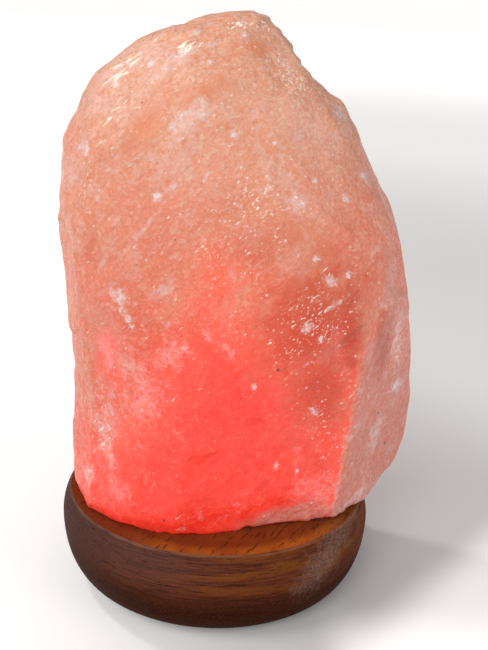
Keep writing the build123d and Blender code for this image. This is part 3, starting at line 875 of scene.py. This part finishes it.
# Finishes of one colour: the colour, roughness, metal (1) or not (0), height of the bumps, how dark
# the clouds in it are beside the colour, and the nodes that have it
plain_finishes = {
    "zinc_steel": (
        (0.62, 0.61, 0.58), 0.35, 1.0, 0.00004, 0.80, ("crystal_screws", "terminal_screws")),
    "spring_steel": (
        (0.42, 0.42, 0.43), 0.30, 1.0, 0.00004, 0.80, ("spring_clip",)),
    "brass": (
        (0.76, 0.56, 0.25), 0.30, 1.0, 0.00004, 0.80,
        ("threaded_nipple", "nipple_nut", "centre_contact", "side_contact", "screw_shell")),
    "holder_plastic": (
        (0.84, 0.81, 0.75), 0.42, 0.0, 0.00004, 0.94, ("holder_cap", "holder_skirt")),
    "steatite": (
        (0.80, 0.77, 0.69), 0.70, 0.0, 0.00008, 0.90, ("contact_block",)),
    "cap_metal": (
        (0.72, 0.71, 0.68), 0.32, 1.0, 0.00004, 0.80, ("bulb_cap",)),
    "black_glass": (
        (0.02, 0.02, 0.025), 0.12, 0.0, 0.00004, 0.80, ("bulb_insulator",)),
    "solder": (
        (0.60, 0.60, 0.60), 0.40, 1.0, 0.0002, 0.80, ("bulb_tip",)),
    "lead_wire": (
        (0.55, 0.53, 0.50), 0.35, 1.0, 0.00004, 0.80, ("bulb_leads", "filament_support")),
}


def plain_finish(name, colour, rough, metal, bump, shade):
    """A finish with a little cloudiness, wear and grain."""
    f = Finish(name)
    tone = f.noise(plain_cloud_size)
    darker = tuple(part * shade for part in colour)
    f.set("Base Color", f.mix(f.span(tone, 0.35, 0.65), darker, colour))
    f.set("Metallic", metal)
    f.set("Roughness", f.span(f.noise(plain_grain_size), 0.3, 0.7, rough * 0.8, rough * 1.2))
    f.set("Normal", f.bump(f.noise(plain_grain_size), bump))
    return f.material


def felt_finish():
    f = Finish("felt")
    fibres = f.noise(0.0006, detail=4, rough=0.7, warp=1.5)
    f.set("Base Color", f.mix(f.span(fibres, 0.35, 0.65), (0.03, 0.027, 0.027), (0.075, 0.068, 0.066)))
    f.set("Roughness", 0.95)
    f.set("Sheen Weight", 0.3)
    f.set("Normal", f.bump(fibres, 0.0003))
    return f.material


def glass_finish():
    f = Finish("clear_glass")
    f.set("Base Color", f.mix(f.noise(0.01, detail=2), (1.0, 0.985, 0.97), (1.0, 1.0, 1.0)))
    f.set("Transmission Weight", 1.0)
    f.set("IOR", 1.47)
    f.set("Roughness", f.span(f.noise(0.004), 0.3, 0.8, 0.0, 0.03))
    return f.material


def filament_finish():
    f = Finish("filament")
    turns = f.noise(0.0008, detail=2)
    f.set("Base Color", f.mix(turns, (0.4, 0.2, 0.1), (0.6, 0.35, 0.2)))
    f.set("Emission Color", (1.0, 0.42, 0.12, 1))
    f.set("Emission Strength", f.span(turns, 0.2, 0.8, 6.0, 9.0))
    f.set("Roughness", 0.4)
    return f.material


def finish_node(name, material):
    mesh = nodes[name].data
    mesh.materials.clear()
    mesh.materials.append(material)


# ---------------------------------------------------------------- filament

coil_turns = 34
coil_steps = 12 * coil_turns
coil_wire_radius = 0.00006


def coiled_filament():
    """The glowing wire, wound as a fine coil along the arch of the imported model's plain wire."""
    low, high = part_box("bulb_filament")
    sleeve = (high.y - low.y) / 2
    winding = sleeve - coil_wire_radius
    half = (high.x - low.x) / 2 - sleeve
    rise = high.z - low.z - 2 * sleeve
    bend = (half**2 + rise**2) / (2 * rise)
    swing = math.asin(half / bend)
    middle = Vector(((low.x + high.x) / 2, (low.y + high.y) / 2, high.z - sleeve - bend))
    curve = bpy.data.curves.new("filament", "CURVE")
    curve.dimensions = "3D"
    curve.bevel_depth, curve.bevel_resolution = coil_wire_radius, 1
    curve.use_fill_caps = True
    path = curve.splines.new("POLY")
    path.points.add(coil_steps)
    for step, point in enumerate(path.points):
        share = step / coil_steps
        lean = (2 * share - 1) * swing
        wind = 2 * math.pi * coil_turns * share
        reach = bend + winding * math.cos(wind)
        aside = winding * math.sin(wind)
        point.co = (*(middle + Vector((reach * math.sin(lean), aside, reach * math.cos(lean)))), 1)
    wound = bpy.data.objects.new("wound_wire", curve)
    piece = bpy.data.objects.new("coiled_filament", bpy.data.meshes.new_from_object(wound))
    bpy.data.objects.remove(wound)
    scene.collection.objects.link(piece)
    piece.data.materials.append(filament_finish())
    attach(piece, "bulb")
    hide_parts("bulb_filament")


# ---------------------------------------------------------------- stage

floor_half = 6.0

# Where the floor brightens with the distance from the lamp: from, to and by how much
floor_brightens = ((0.11, 0.23, 0.12), (0.35, 1.10, 0.36), (1.00, 3.00, 0.55))

# How strongly the surroundings light the lamp, and how bright they are where they are seen
world_light, world_seen = 0.33, 1.0

# Round lamps: place, aim, size across, power and colour
lights = {
    "window_left": ((-1.10, -0.61, 1.20), (0, 0, 0.08), 0.80, 7.1, (1.0, 0.99, 0.97)),
    "soft_front": ((-0.35, -1.25, 0.95), (0, 0, 0.08), 0.90, 6.8, (1.0, 0.995, 0.99)),
    "fill_right": ((1.15, -0.75, 0.75), (0, 0, 0.08), 1.00, 4.2, (1.0, 0.99, 0.98)),
    "glint": ((-0.42, 0.22, 0.62), (0, 0, 0.12), 0.07, 1.1, (1.0, 0.98, 0.95)),
}


def make_floor():
    """A pale floor. What brightens it only shows: to the camera, in gloss and through glass."""
    mesh = bpy.data.meshes.new("floor")
    corners = [(x * floor_half, y * floor_half, 0) for x, y in ((-1, -1), (1, -1), (1, 1), (-1, 1))]
    mesh.from_pydata(corners, [], [(0, 1, 2, 3)])
    floor = bpy.data.objects.new("floor", mesh)
    scene.collection.objects.link(floor)
    f = Finish("floor")
    seen = f.add("ShaderNodeLightPath")
    direct = f.larger(seen.outputs["Is Camera Ray"],
                      f.larger(seen.outputs["Is Glossy Ray"], seen.outputs["Is Transmission Ray"]))
    x, y, away = f.axis("X"), f.axis("Y"), f.vector("LENGTH", f.place)
    lift = f.span(x, 0.050, -0.080, 0.0, 0.40)
    for near, far, size in floor_brightens:
        lift = f.plus(lift, f.span(away, near, far, 0.0, size))
    # Painted light: the floor is brightened ahead of and to the right of the lamp, where its cast shadow
    # ends
    painted_light_ahead = f.span(f.minus(x, f.times(y, 0.75)), 0.069, 0.094, 0.0, 0.32)
    painted_light_near = f.times(f.span(y, -0.020, -0.050), f.span(x, 0.030, 0.045, 0.0, 0.25))
    lift = f.plus(lift, f.plus(painted_light_ahead, painted_light_near))
    f.set("Base Color", f.mix(f.noise(0.4, detail=2), (0.80, 0.787, 0.780), (0.82, 0.808, 0.800)))
    f.set("Roughness", 0.9)
    f.set("Specular IOR Level", 0.1)
    f.set("Emission Color", (1.0, 0.975, 0.965, 1))
    f.set("Emission Strength", f.times(direct, lift))
    mesh.materials.append(f.material)


def make_world():
    """Pale surroundings, white where the camera or glass sees them and dimmer as light."""
    world = bpy.data.worlds.new("studio")
    scene.world = world
    world.use_nodes = True
    tree = world.node_tree
    back = tree.nodes["Background"]
    paths = tree.nodes.new("ShaderNodeLightPath")
    both = tree.nodes.new("ShaderNodeMath")
    both.operation = "MAXIMUM"
    tree.links.new(paths.outputs["Is Camera Ray"], both.inputs[0])
    tree.links.new(paths.outputs["Is Transmission Ray"], both.inputs[1])
    strength = tree.nodes.new("ShaderNodeMapRange")
    tree.links.new(both.outputs[0], strength.inputs["Value"])
    strength.inputs["To Min"].default_value = world_light
    strength.inputs["To Max"].default_value = world_seen
    tree.links.new(strength.outputs[0], back.inputs["Strength"])
    back.inputs["Color"].default_value = (1.0, 0.99, 0.985, 1)


def area_light(name, place, aim, size, power, colour):
    data = bpy.data.lights.new(name, "AREA")
    data.shape, data.size = "DISK", size
    data.energy, data.color = power, colour
    lamp = bpy.data.objects.new(name, data)
    scene.collection.objects.link(lamp)
    lamp.location = place
    lamp.rotation_mode = "QUATERNION"
    lamp.rotation_quaternion = (Vector(aim) - Vector(place)).to_track_quat("-Z", "Y")


# ---------------------------------------------------------------- the lamp

make_camera()
make_world()
make_floor()
for name, settings in lights.items():
    area_light(name, *settings)

hewn_crystal()
coiled_filament()

base_mesh = nodes["wood_base"].data
base_skin = skin_of(
    [vertex.co for vertex in base_mesh.vertices],
    [tuple(face.vertices) for face in base_mesh.polygons],
)
finish_node("wood_base", wood_finish(base_skin))
finish_node("felt_ring", felt_finish())
for finish_name, (*settings, names) in plain_finishes.items():
    material = plain_finish(finish_name, *settings)
    for name in names:
        finish_node(name, material)
glass = glass_finish()
for name in ("bulb_glass", "bulb_stem"):
    finish_node(name, glass)

scene.view_settings.view_transform = "Standard"
